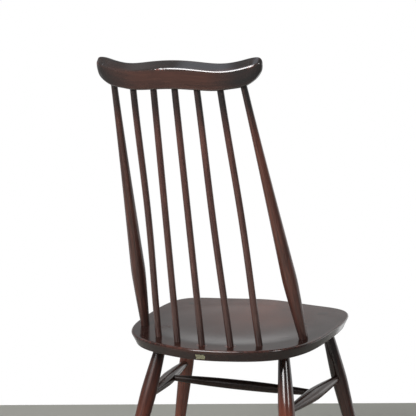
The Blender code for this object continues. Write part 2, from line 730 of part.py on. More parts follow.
def build_chair():
    clear_scene()
    chair = new_collection("spindle_back_chair")
    cutters = new_collection("cutters")
    root = bpy.data.objects.new("chair_frame", None)
    chair.objects.link(root)
    beech = lacquered_wood("dark_stained_beech", BEECH_FINISH)
    elm = lacquered_wood("dark_stained_elm", ELM_FINISH)
    rail_wood = lacquered_wood("dark_stained_rail", RAIL_FINISH)
    wedge_wood = lacquered_wood("dark_stained_wedge", WEDGE_FINISH)
    turned_kit = (chair, cutters, root, beech)
    wedge_kit = (chair, cutters, root, wedge_wood)

    seat = place("seat", seat_mesh(), chair, root, elm)
    rail = place("crest_rail", rail_mesh(), chair, root, rail_wood)

    legs = {}
    places = (("front", FRONT_LEG_TOP, FRONT_LEG_FOOT), ("back", BACK_LEG_TOP, BACK_LEG_FOOT))
    for row, top, foot in places:
        for word, side in (("left", 1), ("right", -1)):
            name = row + "_" + word
            leg = make_leg("leg_" + name, top, foot, side, turned_kit)
            legs[name] = leg
            low, direction, length = leg_axis(top, foot, side)
            high = low + direction * length
            through = SEAT_THICKNESS / direction.z
            mortise = drill("leg_" + name + "_mortise", high - direction * (through + CUTTER_OVERRUN),
                            high + direction * CUTTER_OVERRUN, LEG_TENON_DIAMETER + 2.0 * FIT,
                            cutters, root)
            cut(seat, mortise)
            normal = surface_normal(seat_top, high.x, high.y)
            wedged_end("leg_wedge_" + name, leg, high, direction, normal,
                       LEG_TENON_DIAMETER, wedge_kit)

    sides = []
    for word, side in (("left", 1), ("right", -1)):
        pair = (legs["back_" + word], legs["front_" + word])
        sides.append(make_side_stretcher("side_stretcher_" + word, side, pair, turned_kit))
    make_cross_stretcher(sides, turned_kit)

    for word, side in (("left", 1), ("right", -1)):
        post, foot, direction = make_post("back_post_" + word, side, seat, rail, turned_kit)
        low = underside_point(foot, direction)
        normal = -surface_normal(seat_underside, low.x, low.y)
        wedged_end("post_wedge_" + word, post, low, -direction, normal,
                   POST_FOOT_DIAMETER, wedge_kit)

    row = (
        ("spindle_1", OUTER_SPINDLE, 1, OUTER_LEFT_WARP),
        ("spindle_2", INNER_SPINDLE, 1, None),
        ("spindle_3", MIDDLE_SPINDLE, 1, None),
        ("spindle_4", INNER_SPINDLE, -1, INNER_RIGHT_WARP),
        ("spindle_5", OUTER_SPINDLE, -1, OUTER_RIGHT_WARP),
    )
    for name, stick, side, bend in row:
        make_spindle(name, stick, side, bend, seat, rail, turned_kit)

    for item in (seat, rail):
        item.data.shade_smooth()
        item.data.set_sharp_from_angle(angle=math.radians(35.0))
    centre_on_footprint(root, chair)


build_chair()
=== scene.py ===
"""Looks of the spindle-back dining chair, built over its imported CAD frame.

Metres, +Z up; the seat faces -Y and the sitter's left is +X.
"""

import math

import bmesh
import bpy
import numpy as np
from mathutils import Matrix, Vector, noise


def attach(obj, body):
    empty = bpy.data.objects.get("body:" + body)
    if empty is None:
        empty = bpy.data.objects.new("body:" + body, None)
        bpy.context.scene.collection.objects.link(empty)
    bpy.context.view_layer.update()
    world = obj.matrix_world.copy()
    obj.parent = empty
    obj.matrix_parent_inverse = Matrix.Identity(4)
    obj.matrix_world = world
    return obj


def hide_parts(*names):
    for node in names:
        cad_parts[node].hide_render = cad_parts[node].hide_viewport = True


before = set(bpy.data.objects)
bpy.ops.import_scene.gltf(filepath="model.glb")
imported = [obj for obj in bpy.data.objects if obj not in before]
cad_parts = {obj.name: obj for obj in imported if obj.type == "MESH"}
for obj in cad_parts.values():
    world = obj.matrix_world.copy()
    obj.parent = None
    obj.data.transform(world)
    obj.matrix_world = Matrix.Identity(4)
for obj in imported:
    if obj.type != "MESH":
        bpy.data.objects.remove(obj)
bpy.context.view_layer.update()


# Seat board
# One board of elm, dished for the sitter, its upper edge rounded over and its side cut back
# under. Stained black-brown and lacquered until it mirrors the room; rubbed along the back.

SEAT_OUTLINE = (
    (-90, 0.2094), (-70, 0.2105), (-55, 0.2269), (-42, 0.2479), (-28, 0.2343),
    (-5, 0.2078), (20, 0.2095), (45, 0.2149), (70, 0.2035), (90, 0.2019),
)
SEAT_CENTRE_Y = -0.04449
SEAT_BACK_HEIGHT = 0.440
SEAT_BACK_Y = 0.170
SEAT_RAKE = math.tan(math.radians(3.2))
SEAT_THICKNESS = 0.024
SEAT_UNDERCUT = 0.0085
SEAT_TOP_ROUND = 0.0040
SEAT_BOTTOM_ROUND = 0.0030
DISH_DEPTH = 0.0066
DISH_HALF_WIDTH = 0.183
DISH_HALF_DEPTH = 0.167
DISH_CENTRE_Y = 0.001
SEAT_SIDES = 320
SEAT_RINGS = 46
# Its whole upper face lies above this height, and so does the front of its underside
SEAT_TOP_ABOVE = 0.43
# Where the spindles stand on it, from the sitter's left
SPINDLE_FEET = (
    (0.10713, 0.09462, 0.44173), (0.05606, 0.11648, 0.44050), (0.00000, 0.12551, 0.44000),
    (-0.05606, 0.11648, 0.44050), (-0.10713, 0.09462, 0.44173),
)


def linear(hex_colour):
    """Turn an sRGB hex colour into the linear colour that a socket takes."""
    parts = [int(hex_colour[i:i + 2], 16) / 255.0 for i in (1, 3, 5)]
    parts = [c / 12.92 if c <= 0.04045 else ((c + 0.055) / 1.055) ** 2.4 for c in parts]
    return (*parts, 1.0)


def add_node(tree, kind, inputs=None, **settings):
    """Add a node, set it up, and link or fill its inputs by name or number."""
    node = tree.nodes.new(kind)
    for name, value in settings.items():
        setattr(node, name, value)
    for key, value in (inputs or {}).items():
        if isinstance(value, bpy.types.NodeSocket):
            tree.links.new(value, node.inputs[key])
        else:
            node.inputs[key].default_value = value
    return node


def maths(tree, operation, *values, clamp=False):
    """Add a Math node for the given values or links and return its result."""
    return add_node(tree, "ShaderNodeMath", dict(enumerate(values)),
                    operation=operation, use_clamp=clamp).outputs[0]


def closed_curve(knots, values, period):
    """Smooth closed curve through values at the given knots, for arrays of positions."""
    knots = np.asarray(knots, dtype=float)
    values = np.asarray(values, dtype=float)
    if values.ndim == 1:
        values = values[:, None]
    count = len(knots)
    spans = np.diff(np.append(knots, knots[0] + period))
    slopes = (np.roll(values, -1, axis=0) - values) / spans[:, None]
    system = np.zeros((count, count))
    for i in range(count):
        system[i, i - 1] += spans[i - 1]
        system[i, i] += 2.0 * (spans[i - 1] + spans[i])
        system[i, (i + 1) % count] += spans[i]
    bends = np.linalg.solve(system, 6.0 * (slopes - np.roll(slopes, 1, axis=0)))

    def at(positions):
        places = knots[0] + (np.asarray(positions, dtype=float) - knots[0]) % period
        i = np.searchsorted(knots, places, side="right") - 1
        j = (i + 1) % count
        b = ((places - knots[i]) / spans[i])[:, None]
        a = 1.0 - b
        bend = (a ** 3 - a) * bends[i] + (b ** 3 - b) * bends[j]
        return a * values[i] + b * values[j] + bend * spans[i][:, None] ** 2 / 6.0

    return at


mirrored = list(SEAT_OUTLINE) + [(180 - a, r) for a, r in reversed(SEAT_OUTLINE[1:-1])]
seat_radius = closed_curve([p[0] for p in mirrored], [p[1] for p in mirrored], 360.0)


def seat_top(x, y):
    """Height of the seat's upper face, for arrays of points about the seat's own centre."""
    deck = SEAT_BACK_HEIGHT + (SEAT_BACK_Y - y) * SEAT_RAKE
    reach = (x / DISH_HALF_WIDTH) ** 2 + ((y - DISH_CENTRE_Y) / DISH_HALF_DEPTH) ** 2
    reach = np.minimum(reach, 1.0)
    return deck - DISH_DEPTH * (1.0 - reach) ** 2 * (1.0 + 2.0 * reach)


def mesh_from_rings(name, rings, start, end):
    """Skin closed rings of points, and close each of the two ends on a point."""
    count, sides, _ = rings.shape
    points = [tuple(p) for p in rings.reshape(-1, 3)]
    faces = []
    for i in range(count - 1):
        for k in range(sides):
            m = (k + 1) % sides
            faces.append((i * sides + k, (i + 1) * sides + k, (i + 1) * sides + m, i * sides + m))
    for tip, first in ((start, 0), (end, (count - 1) * sides)):
        points.append(tuple(tip))
        for k in range(sides):
            faces.append((len(points) - 1, first + k, first + (k + 1) % sides))
    mesh = bpy.data.meshes.new(name)
    mesh.from_pydata(points, [], faces)
    return mesh


def add_object(name, data):
    """Make an object of a mesh, light or camera and put it in the scene."""
    thing = bpy.data.objects.new(name, data)
    bpy.context.scene.collection.objects.link(thing)
    return thing


def finish_piece(name, mesh, wood, node=None, sharp=35.0):
    """Turn a mesh's faces outwards, smooth it, and let it stand for its CAD node."""
    bm = bmesh.new()
    bm.from_mesh(mesh)
    bmesh.ops.remove_doubles(bm, verts=bm.verts, dist=0.000002)
    bmesh.ops.recalc_face_normals(bm, faces=bm.faces)
    bm.to_mesh(mesh)
    bm.free()
    mesh.shade_smooth()
    mesh.set_sharp_from_angle(angle=math.radians(sharp))
    mesh.materials.clear()
    mesh.materials.append(wood)
    piece = add_object(name, mesh)
    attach(piece, "root")
    if node:
        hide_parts(node)


def store(mesh, name, values):
    """Keep one value or vector for each point of a mesh under a name."""
    values = np.asarray(values, dtype=np.float32)
    kind, field = ("FLOAT", "value") if values.ndim == 1 else ("FLOAT_VECTOR", "vector")
    mesh.attributes.new(name, kind, "POINT").data.foreach_set(field, values.ravel())


def lacquered_wood(name, stain, figure, streak, shade, worn, gloss, pore, relief, ior=1.50):
    """Stained and lacquered wood whose grain runs along Z of the stored "grain" vector.

    stain is dark, middle and light colour, and shade the colour where the stored tone is 1;
    on the legs, the sticks and the cross rung that tone is painted shade, elsewhere it is the
    stain's own change. Where "wear" is stored the lacquer is rubbed, and where "dull" is, it has
    lost its gloss.
    figure, streak and pore are sizes (across, along) in metres; worn is the rubbed colour;
    gloss is the lowest and highest roughness, and relief the heights, in metres, of the fibres
    and of the slow waves that the lacquer shows.
    """
    wood = bpy.data.materials.new(name)
    wood.use_nodes = True
    tree = wood.node_tree
    tree.nodes.clear()

    def stored(layer, output="Fac"):
        return add_node(tree, "ShaderNodeAttribute", attribute_name=layer).outputs[output]

    def pattern(source, size, detail, distortion=0.0):
        scale = (1.0 / size[0], 1.0 / size[0], 1.0 / size[1])
        vector = add_node(tree, "ShaderNodeMapping", {"Vector": source, "Scale": scale})
        return add_node(tree, "ShaderNodeTexNoise", {
            "Vector": vector.outputs[0], "Scale": 1.0, "Detail": detail,
            "Roughness": 0.55, "Distortion": distortion}).outputs[0]

    def limits(value, low, high, to_low=0.0, to_high=1.0):
        return add_node(tree, "ShaderNodeMapRange", {
            "Value": value, 1: low, 2: high, 3: to_low, 4: to_high},
            interpolation_type="SMOOTHSTEP").outputs[0]

    def mix(share, first, second):
        return add_node(tree, "ShaderNodeMix", {0: share, 6: first, 7: second},
                        data_type="RGBA").outputs[2]

    def times(first, second):
        return maths(tree, "MULTIPLY", first, second)

    grain = stored("grain", "Vector")
    place = add_node(tree, "ShaderNodeTexCoord").outputs["Object"]
    fibre = pattern(grain, streak, 4.0)
    mottle = pattern(place, (0.060, 0.090), 2.0)
    pores = pattern(grain, pore, 2.0)
    dark, middle, light = (linear(c) for c in stain)
    ring_share = limits(pattern(grain, figure, 3.0, 0.7), 0.36, 0.62)
    colour = mix(ring_share, dark, middle)
    colour = mix(times(limits(fibre, 0.44, 0.72), 0.55), colour, light)
    colour = mix(times(limits(mottle, 0.42, 0.66), 0.35), colour, dark)
    colour = mix(times(limits(pores, 0.60, 0.72), 0.45), colour, dark)
    deep = mix(times(ring_share, 0.5), linear(shade), colour)
    colour = mix(stored("tone_and_shade"), colour, mix(0.35, linear(shade), deep))
    patches = pattern(place, (0.006, 0.008), 4.0)
    rubbed = times(stored("wear"), limits(patches, 0.44, 0.60))
    colour = mix(rubbed, colour, linear(worn))
    smears = limits(pattern(place, (0.035, 0.035), 5.0), 0.35, 0.68, gloss[0], gloss[1])
    dull = stored("dull")
    rough = maths(tree, "MULTIPLY_ADD", dull, 0.22, smears)
    rough = maths(tree, "MULTIPLY_ADD", rubbed, 0.25, rough)
    first = add_node(tree, "ShaderNodeBump", {
        "Height": fibre, "Strength": 1.0, "Distance": relief[0]})
    bump = add_node(tree, "ShaderNodeBump", {
        "Height": pattern(place, (0.012, 0.016), 1.0), "Strength": 1.0, "Distance": relief[1],
        "Normal": first.outputs[0]})
    shader = add_node(tree, "ShaderNodeBsdfPrincipled", {
        "Base Color": colour, "Roughness": rough, "IOR": ior, "Normal": bump.outputs[0],
        "Specular IOR Level": limits(dull, 0.0, 1.0, 0.50, 0.20)})
    add_node(tree, "ShaderNodeOutputMaterial", {"Surface": shader.outputs[0]})
    return wood


def seat_rings():
    """Rings of the seat from near its middle, over the edge and under, with their wear."""
    angles = np.arange(SEAT_SIDES) * 360.0 / SEAT_SIDES
    radius = seat_radius(angles)[:, 0]
    compass = np.stack((np.cos(np.radians(angles)), np.sin(np.radians(angles))), axis=1)
    steps = []
    for share in np.linspace(0.02, 0.975, SEAT_RINGS):
        steps.append((radius * share, 0.0, 0.0))
    for turn in np.radians(np.linspace(0, 90, 10)):
        inset = SEAT_TOP_ROUND * (1.0 - math.sin(turn))
        drop = SEAT_TOP_ROUND * (1.0 - math.cos(turn))
        steps.append((radius - inset, drop, 0.25 * math.sin(2.0 * turn)))
    low = SEAT_THICKNESS - SEAT_BOTTOM_ROUND
    for share in (0.15, 0.35, 0.55, 0.75, 0.9):
        drop = SEAT_TOP_ROUND + (low - SEAT_TOP_ROUND) * share
        steps.append((radius - SEAT_UNDERCUT * share, drop, 0.0))
    for turn in np.radians(np.linspace(0, 90, 8)):
        inset = SEAT_UNDERCUT + SEAT_BOTTOM_ROUND * (1.0 - math.cos(turn))
        drop = low + SEAT_BOTTOM_ROUND * math.sin(turn)
        steps.append((radius - inset, drop, 0.10 * math.sin(2.0 * turn)))
    inner = steps[-1][0]
    for share in (0.85, 0.65, 0.45, 0.25, 0.10, 0.02):
        steps.append((inner * share, SEAT_THICKNESS, 0.0))
    rings, wear = [], []
    for reach, drop, rub in steps:
        x, y = (compass * reach[:, None]).T
        top = seat_top(x, y)
        if drop >= SEAT_THICKNESS:
            top = SEAT_BACK_HEIGHT + (SEAT_BACK_Y - y) * SEAT_RAKE
        rings.append(np.stack((x, y + SEAT_CENTRE_Y, top - drop), axis=1))
        wear.append(np.full(SEAT_SIDES, rub))
    return np.array(rings), np.concatenate(wear)


rings, seat_wear = seat_rings()
middle_top = (0.0, SEAT_CENTRE_Y, float(seat_top(np.zeros(1), np.zeros(1))[0]))
middle_low = (0.0, SEAT_CENTRE_Y, SEAT_BACK_HEIGHT + SEAT_BACK_Y * SEAT_RAKE - SEAT_THICKNESS)
seat_mesh = mesh_from_rings("seat_board", rings, middle_top, middle_low)
spots = np.array([v.co for v in seat_mesh.vertices])
seat_wear = np.append(seat_wear, (0.0, 0.0))
above = spots[:, 2] > SEAT_TOP_ABOVE
# Rubbed rings round the feet of the five spindles, strongest at the third and fourth
FOOT_RUBS = (0.2, 0.2, 0.9, 0.9, 0.2)
RING_RADIUS = 0.0085
RING_SPREAD = 0.0025
for (x, y, _), rub in zip(SPINDLE_FEET, FOOT_RUBS):
    gap = np.hypot(spots[:, 0] - x, spots[:, 1] - y) - RING_RADIUS
    seat_wear = np.maximum(seat_wear, rub * np.exp(-(gap / RING_SPREAD) ** 2) * above)
# Where sitters have rubbed the stain lighter: centre, half width, half depth and strength
SAT_ON = (
    (0.020, -0.190, 0.200, 0.130, 0.34), (-0.012, -0.200, 0.040, 0.065, 0.38),
    (0.010, -0.100, 0.060, 0.050, 0.20), (-0.080, -0.100, 0.035, 0.045, 0.28),
    (-0.020, -0.020, 0.080, 0.070, 0.16), (0.000, 0.160, 0.160, 0.030, 0.15),
)
# Where the gloss is duller, between the sitter's thighs, in the same terms
DULLED = ((-0.025, -0.080, 0.035, 0.110, 0.45),)


def smudges(rows):
    """Sum of soft oval spots where the seat lies above SEAT_TOP_ABOVE, within 0 and 1."""
    total = np.zeros(len(spots))
    for x, y, half_width, half_depth, strength in rows:
        spread = ((spots[:, 0] - x) / half_width) ** 2 + ((spots[:, 1] - y) / half_depth) ** 2
        total += strength * np.exp(-spread)
    return np.clip(total * above, 0.0, 1.0)


store(seat_mesh, "grain", spots[:, (0, 2, 1)])
store(seat_mesh, "wear", seat_wear)
store(seat_mesh, "tone_and_shade", smudges(SAT_ON))
store(seat_mesh, "dull", smudges(DULLED))
# Elm: broad, wavy growth rings and open pores, flooded with a black-brown stain that has
# gone red-brown where it is sat on. The lacquer is thick and glossy and mirrors the room
elm = lacquered_wood(
    "dark_stained_lacquered_elm", stain=("#1f1311", "#291a17", "#37231e"),
    figure=(0.016, 0.260), streak=(0.0030, 0.060), shade="#744638", worn="#7a463a",
    gloss=(0.13, 0.20), pore=(0.0009, 0.009), relief=(0.000010, 0.00002))
finish_piece("seat_board", seat_mesh, elm, "seat")


# Paper remnant
# What is left of a small paper sticker on the back edge of the seat: bare, yellowed and
# torn all round. It is glued on and lies flat, about a tenth of a millimetre off the wood.

PAPER_ANGLE = 92.3
PAPER_HALF_WIDTH = 0.0100
PAPER_DROP = 0.0158
PAPER_HALF_HEIGHT = 0.0055
PAPER_THICKNESS = 0.00012
PAPER_CELL = 0.0004
SEAT_BACK_RADIUS = 0.2
# How far out, and how far down, the undercut side faces
SIDE_OUT = 0.894
SIDE_DOWN = 0.447


def seat_side(sideways, drop, outwards):
    """Point on the seat's undercut back edge, given metres round it from the remnant."""
    turn = PAPER_ANGLE + math.degrees(sideways / SEAT_BACK_RADIUS)
    run = (drop - SEAT_TOP_ROUND) / (SEAT_THICKNESS - SEAT_BOTTOM_ROUND - SEAT_TOP_ROUND)
    reach = float(seat_radius([turn])[0, 0]) - SEAT_UNDERCUT * run + outwards * SIDE_OUT
    x, y = reach * math.cos(math.radians(turn)), reach * math.sin(math.radians(turn))
    top = SEAT_BACK_HEIGHT + (SEAT_BACK_Y - y) * SEAT_RAKE
    return x, y + SEAT_CENTRE_Y, top - drop - outwards * SIDE_DOWN


def torn(u, v):
    """Whether a cell belongs to the remnant; u and v run from -1 to 1 over its full size."""
    ragged = noise.noise(Vector((u * 2.4 + 1.0, v * 1.8, 2.0))) * 1.1
    ragged += noise.noise(Vector((u * 8.0, v * 5.0, 4.0))) * 0.4
    return max(abs(u), abs(v)) ** 4.0 < 0.75 + ragged


bm = bmesh.new()
columns = int(PAPER_HALF_WIDTH / PAPER_CELL)
rows = int(PAPER_HALF_HEIGHT / PAPER_CELL)
grid = {}
for i in range(-columns, columns + 1):
    for k in range(-rows, rows + 1):
        spot = seat_side(i * PAPER_CELL, PAPER_DROP + k * PAPER_CELL, PAPER_THICKNESS)
        grid[i, k] = bm.verts.new(spot)
for i in range(-columns, columns):
    for k in range(-rows, rows):
        if torn((i + 0.5) / columns, (k + 0.5) / rows):
            bm.faces.new((grid[i, k], grid[i + 1, k], grid[i + 1, k + 1], grid[i, k + 1]))
loose = [v for v in bm.verts if not v.link_faces]
bmesh.ops.delete(bm, geom=loose, context="VERTS")
bmesh.ops.solidify(bm, geom=bm.faces[:], thickness=PAPER_THICKNESS * 0.7)
paper_mesh = bpy.data.meshes.new("paper_remnant")
bm.to_mesh(paper_mesh)
bm.free()
# Old paper: dull and matt, grey-green with a yellower middle where the print has gone
paper = bpy.data.materials.new("yellowed_paper")
paper.use_nodes = True
tree = paper.node_tree
place = add_node(tree, "ShaderNodeTexCoord").outputs["Object"]
blotch = add_node(tree, "ShaderNodeTexNoise", {"Vector": place, "Scale": 260.0, "Detail": 3.0})
tint = add_node(tree, "ShaderNodeMix", {
    0: blotch.outputs[0], 6: linear("#55574c"), 7: linear("#aaa682")}, data_type="RGBA")
sheet = tree.nodes["Principled BSDF"].inputs
tree.links.new(tint.outputs[2], sheet["Base Color"])
sheet["Roughness"].default_value = 0.85
finish_piece("paper_remnant", paper_mesh, paper)


# Legs
# Four turned beech legs, swollen where the stretchers enter and thinned to a round tenon
# that goes up through the seat. Red-brown stain under a glossy lacquer, darker at the top,
# where shade under the seat is painted on; three of them carry painted shade lower down too.

LEG_FOOT_DIAMETER = 0.0195
LEG_SWELL_DIAMETER = 0.0330
LEG_TENON_DIAMETER = 0.0210
LEG_OVERRUN = 0.012
LEG_PROUD = 0.00012
FOOT_ARRIS = 0.0012
FOOT_WEAR = 0.8
FOOT_WEAR_HEIGHT = 0.006
# Row, foot, top of the tenon, distances to the swell and to the shoulder, and the seat's
# normal where the tenon comes out, for the sitter's left
LEG_ROWS = (
    ("front", (0.24340, -0.24949, 0.0), (0.14910, -0.16959, 0.45650), 0.32116, 0.44417,
     (0.0, 0.05582, 0.99844)),
    ("back", (0.20060, 0.15381, 0.0), (0.12780, 0.01841, 0.44390), 0.32806, 0.44191,
     (-0.07064, 0.01468, 0.99739)),
)


def turning_tree():
    """Geometry Nodes for every turned member: a lathe profile swept along a line.

    The diameter goes from the foot's to the swell's to the head's; each half follows
    1 - (1 - u^lead)^fullness, where u runs from its shoulder to the swell.
    """
    tree = bpy.data.node_groups.new("turned_member", "GeometryNodeTree")
    sockets = (
        ("Foot", "Vector"), ("Head", "Vector"), ("Low Shoulder", "Float"),
        ("Swell At", "Float"), ("High Shoulder", "Float"), ("Foot Diameter", "Float"),
        ("Swell Diameter", "Float"), ("Head Diameter", "Float"), ("Low Lead", "Float"),
        ("Low Fullness", "Float"), ("High Lead", "Float"), ("High Fullness", "Float"),
        ("Bow", "Vector"), ("Softening", "Int"), ("Stations", "Int"), ("Sides", "Int"),
        ("Grain Start", "Float"), ("Wood", "Material"),
    )
    for name, kind in sockets:
        tree.interface.new_socket(name, in_out="INPUT", socket_type="NodeSocket" + kind)
    tree.interface.new_socket("Member", in_out="OUTPUT", socket_type="NodeSocketGeometry")
    given = add_node(tree, "NodeGroupInput").outputs

    def sums(operation, *values, clamp=False):
        return maths(tree, operation, *values, clamp=clamp)

    def share(start, end):
        span = sums("SUBTRACT", end, start)
        return sums("DIVIDE", sums("SUBTRACT", along, start), span, clamp=True)

    def rise(part, lead, fullness, low, high):
        left = sums("SUBTRACT", 1.0, sums("POWER", part, lead), clamp=True)
        full = sums("SUBTRACT", 1.0, sums("POWER", left, fullness))
        return sums("MULTIPLY_ADD", sums("SUBTRACT", high, low), full, low)

    def keep(shape, layer, value, kind="FLOAT"):
        return add_node(tree, "GeometryNodeStoreNamedAttribute", {
            0: shape, "Name": layer, "Value": value}, data_type=kind).outputs[0]

    def kept(layer, kind="FLOAT"):
        return add_node(tree, "GeometryNodeInputNamedAttribute", {"Name": layer},
                        data_type=kind).outputs[0]

    line = add_node(tree, "GeometryNodeCurvePrimitiveLine", {
        "Start": given["Foot"], "End": given["Head"]}).outputs[0]
    line = add_node(tree, "GeometryNodeResampleCurve", {
        "Curve": line, "Count": given["Stations"]}).outputs[0]
    along = add_node(tree, "GeometryNodeSplineParameter").outputs["Length"]
    lower = rise(share(given["Low Shoulder"], given["Swell At"]), given["Low Lead"],
                 given["Low Fullness"], given["Foot Diameter"], given["Swell Diameter"])
    upper = rise(share(given["High Shoulder"], given["Swell At"]), given["High Lead"],
                 given["High Fullness"], given["Head Diameter"], given["Swell Diameter"])
    past = sums("GREATER_THAN", along, given["Swell At"])
    diameter = sums("MULTIPLY_ADD", sums("SUBTRACT", upper, lower), past, lower)
    soft = add_node(tree, "GeometryNodeBlurAttribute", {
        0: diameter, "Iterations": given["Softening"]}).outputs[0]
    radius = sums("MULTIPLY", soft, 0.5)
    line = keep(keep(line, "reach", radius), "along", along)
    bend = sums("SINE", sums("MULTIPLY", share(given["Low Shoulder"], given["High Shoulder"]),
                             math.pi))
    bow = add_node(tree, "ShaderNodeVectorMath", {
        0: given["Bow"], "Scale": sums("MULTIPLY", bend, bend)}, operation="SCALE")
    line = add_node(tree, "GeometryNodeSetPosition", {
        "Geometry": line, "Offset": bow.outputs[0]}).outputs[0]
    circle = add_node(tree, "GeometryNodeCurvePrimitiveCircle", {
        "Resolution": given["Sides"], "Radius": 1.0}).outputs[0]
    spot = add_node(tree, "GeometryNodeInputPosition").outputs[0]
    circle = keep(circle, "round", spot, "FLOAT_VECTOR")
    reach = kept("reach")
    solid = add_node(tree, "GeometryNodeCurveToMesh", {
        "Curve": line, "Profile Curve": circle, "Scale": reach, "Fill Caps": True}).outputs[0]
    across = add_node(tree, "ShaderNodeVectorMath", {
        0: kept("round", "FLOAT_VECTOR"), "Scale": reach}, operation="SCALE").outputs[0]
    parts = add_node(tree, "ShaderNodeSeparateXYZ", {"Vector": across}).outputs
    grain = add_node(tree, "ShaderNodeCombineXYZ", {
        "X": sums("ADD", parts[0], given["Grain Start"]), "Y": parts[1],
        "Z": sums("ADD", kept("along"), given["Grain Start"])}).outputs[0]
    solid = keep(solid, "grain", grain, "FLOAT_VECTOR")
    solid = add_node(tree, "GeometryNodeRealizeInstances", {0: solid}).outputs[0]
    solid = add_node(tree, "GeometryNodeSetMaterial", {
        0: solid, "Material": given["Wood"]}).outputs[0]
    add_node(tree, "NodeGroupOutput", {0: solid})
    return tree


turned_member = turning_tree()


# A straight member with straight tapers, where a call gives nothing else
PLAIN = {"low_lead": 1.0, "low_fullness": 1.0, "high_lead": 1.0, "high_fullness": 1.0,
         "bow": (0.0, 0.0, 0.0)}


def turn(name, **sizes):
    """Run the turned-member tree with the given sizes and return its plain mesh."""
    sizes = {**PLAIN, **sizes}
    holder = add_object(name, bpy.data.meshes.new(name))
    lathe = holder.modifiers.new("turning", "NODES")
    lathe.node_group = turned_member
    for item in turned_member.interface.items_tree:
        if item.in_out == "INPUT":
            lathe[item.identifier] = sizes[item.name.lower().replace(" ", "_")]
    graph = bpy.context.evaluated_depsgraph_get()
    mesh = bpy.data.meshes.new_from_object(holder.evaluated_get(graph),
                                           preserve_all_data_layers=True, depsgraph=graph)
    bpy.data.objects.remove(holder)
    for spare in ("reach", "along", "round"):
        if spare in mesh.attributes:
            mesh.attributes.remove(mesh.attributes[spare])
    return mesh


def saw(mesh, point, normal, arris):
    """Saw a turning off on the far side of a plane, round the new edge and cap it."""
    bm = bmesh.new()
    bm.from_mesh(mesh)

    def slice_at(depth, clear):
        parts = bm.verts[:] + bm.edges[:] + bm.faces[:]
        bmesh.ops.bisect_plane(bm, geom=parts, plane_co=point - normal * depth,
                               plane_no=normal, clear_outer=clear)

    slice_at(0.0, True)
    if arris:
        for share in (0.10, 0.30, 0.60, 1.0):
            slice_at(arris * share, False)
        rings = [v for v in bm.verts if (point - v.co).dot(normal) < arris * 1.001]
        centre = sum((v.co for v in rings), Vector()) / len(rings)
        for corner in rings:
            left = 1.0 - max((point - corner.co).dot(normal), 0.0) / arris
            away = corner.co - centre
            away -= normal * away.dot(normal)
            inset = arris * (1.0 - math.sqrt(max(0.0, 1.0 - left * left)))
            corner.co -= away.normalized() * inset
    rim = [e for e in bm.edges if e.is_boundary]
    bmesh.ops.contextual_create(bm, geom=rim)
    bm.to_mesh(mesh)
    bm.free()


def mirror_point(point, side):
    """A point or direction given for the sitter's left, for side 1 or, mirrored, for -1."""
    return Vector((point[0] * side, point[1], point[2]))


def fade(values, start, full):
    """Rise evenly from 0 at start to 1 at full, which may lie to either side of it."""
    return np.clip((values - start) / (full - start), 0.0, 1.0)


# Beech: close, straight grain with fine short flecks, here red-brown under glossy lacquer,
# nearly black close to the seat, where the shade under the seat is painted on
red_beech = lacquered_wood(
    "red_brown_lacquered_beech", stain=("#4f2920", "#693729", "#824937"),
    figure=(0.007, 0.120), streak=(0.0022, 0.045), shade="#241c1a", worn="#8a5343",
    gloss=(0.10, 0.16), pore=(0.0007, 0.006), relief=(0.000006, 0.000012), ior=1.55)
# How much painted shade darkens each leg: below, and the heights where it starts to
# darken and is darkest, under the seat
LEG_PAINTED_SHADE = {
    "front_left": (0.12, 0.330, 0.420), "front_right": (0.78, 0.300, 0.380),
    "back_left": (0.40, 0.280, 0.400), "back_right": (0.00, 0.305, 0.370),
}
# The one leg whose lacquer has gone dull
DULL_LEG = ("back", "left")

for row, foot, top, swell_at, shoulder, normal in LEG_ROWS:
    for word, side in (("left", 1), ("right", -1)):
        low, high = mirror_point(foot, side), mirror_point(top, side)
        way = (high - low).normalized()
        mesh = turn(
            "leg", foot=low - way * LEG_OVERRUN, head=high + way * LEG_OVERRUN,
            low_shoulder=LEG_OVERRUN, swell_at=swell_at + LEG_OVERRUN,
            high_shoulder=shoulder + LEG_OVERRUN, foot_diameter=LEG_FOOT_DIAMETER,
            swell_diameter=LEG_SWELL_DIAMETER, head_diameter=LEG_TENON_DIAMETER,
            low_lead=1.6, high_fullness=1.25, softening=6, stations=110, sides=64,
            grain_start=0.7 * side + (0.3 if row == "back" else 0.0), wood=red_beech)
        saw(mesh, Vector((0.0, 0.0, 0.0)), Vector((0.0, 0.0, -1.0)), FOOT_ARRIS)
        out = mirror_point(normal, side)
        saw(mesh, high + out * LEG_PROUD, out, 0.0)
        heights = np.array([v.co.z for v in mesh.vertices])
        store(mesh, "wear", FOOT_WEAR * np.exp(-np.maximum(heights, 0.0) / FOOT_WEAR_HEIGHT))
        store(mesh, "dull", np.full(len(heights), 1.0 if (row, word) == DULL_LEG else 0.0))
        # Painted shade, strongest up under the seat
        lowest, start, full = LEG_PAINTED_SHADE[row + "_" + word]
        store(mesh, "tone_and_shade", lowest + (1.0 - lowest) * fade(heights, start, full))
        finish_piece("turned_leg_%s_%s" % (row, word), mesh, red_beech,
                     "leg_%s_%s" % (row, word))


# Leg wedges
# A thin tapered blade of beech, driven into the sawn end of each leg's tenon from above and
# pared off level with the seat, so that only its end grain shows, as a line across the ring.

WEDGE_THICK = 0.0032
WEDGE_THIN = 0.0010
WEDGE_LENGTH = 0.0170
WEDGE_MARGIN = 0.0012
WEDGE_PROUD = 0.00018
WEDGE_BEVEL = 0.00006
WEDGE_SHARP = 12.0


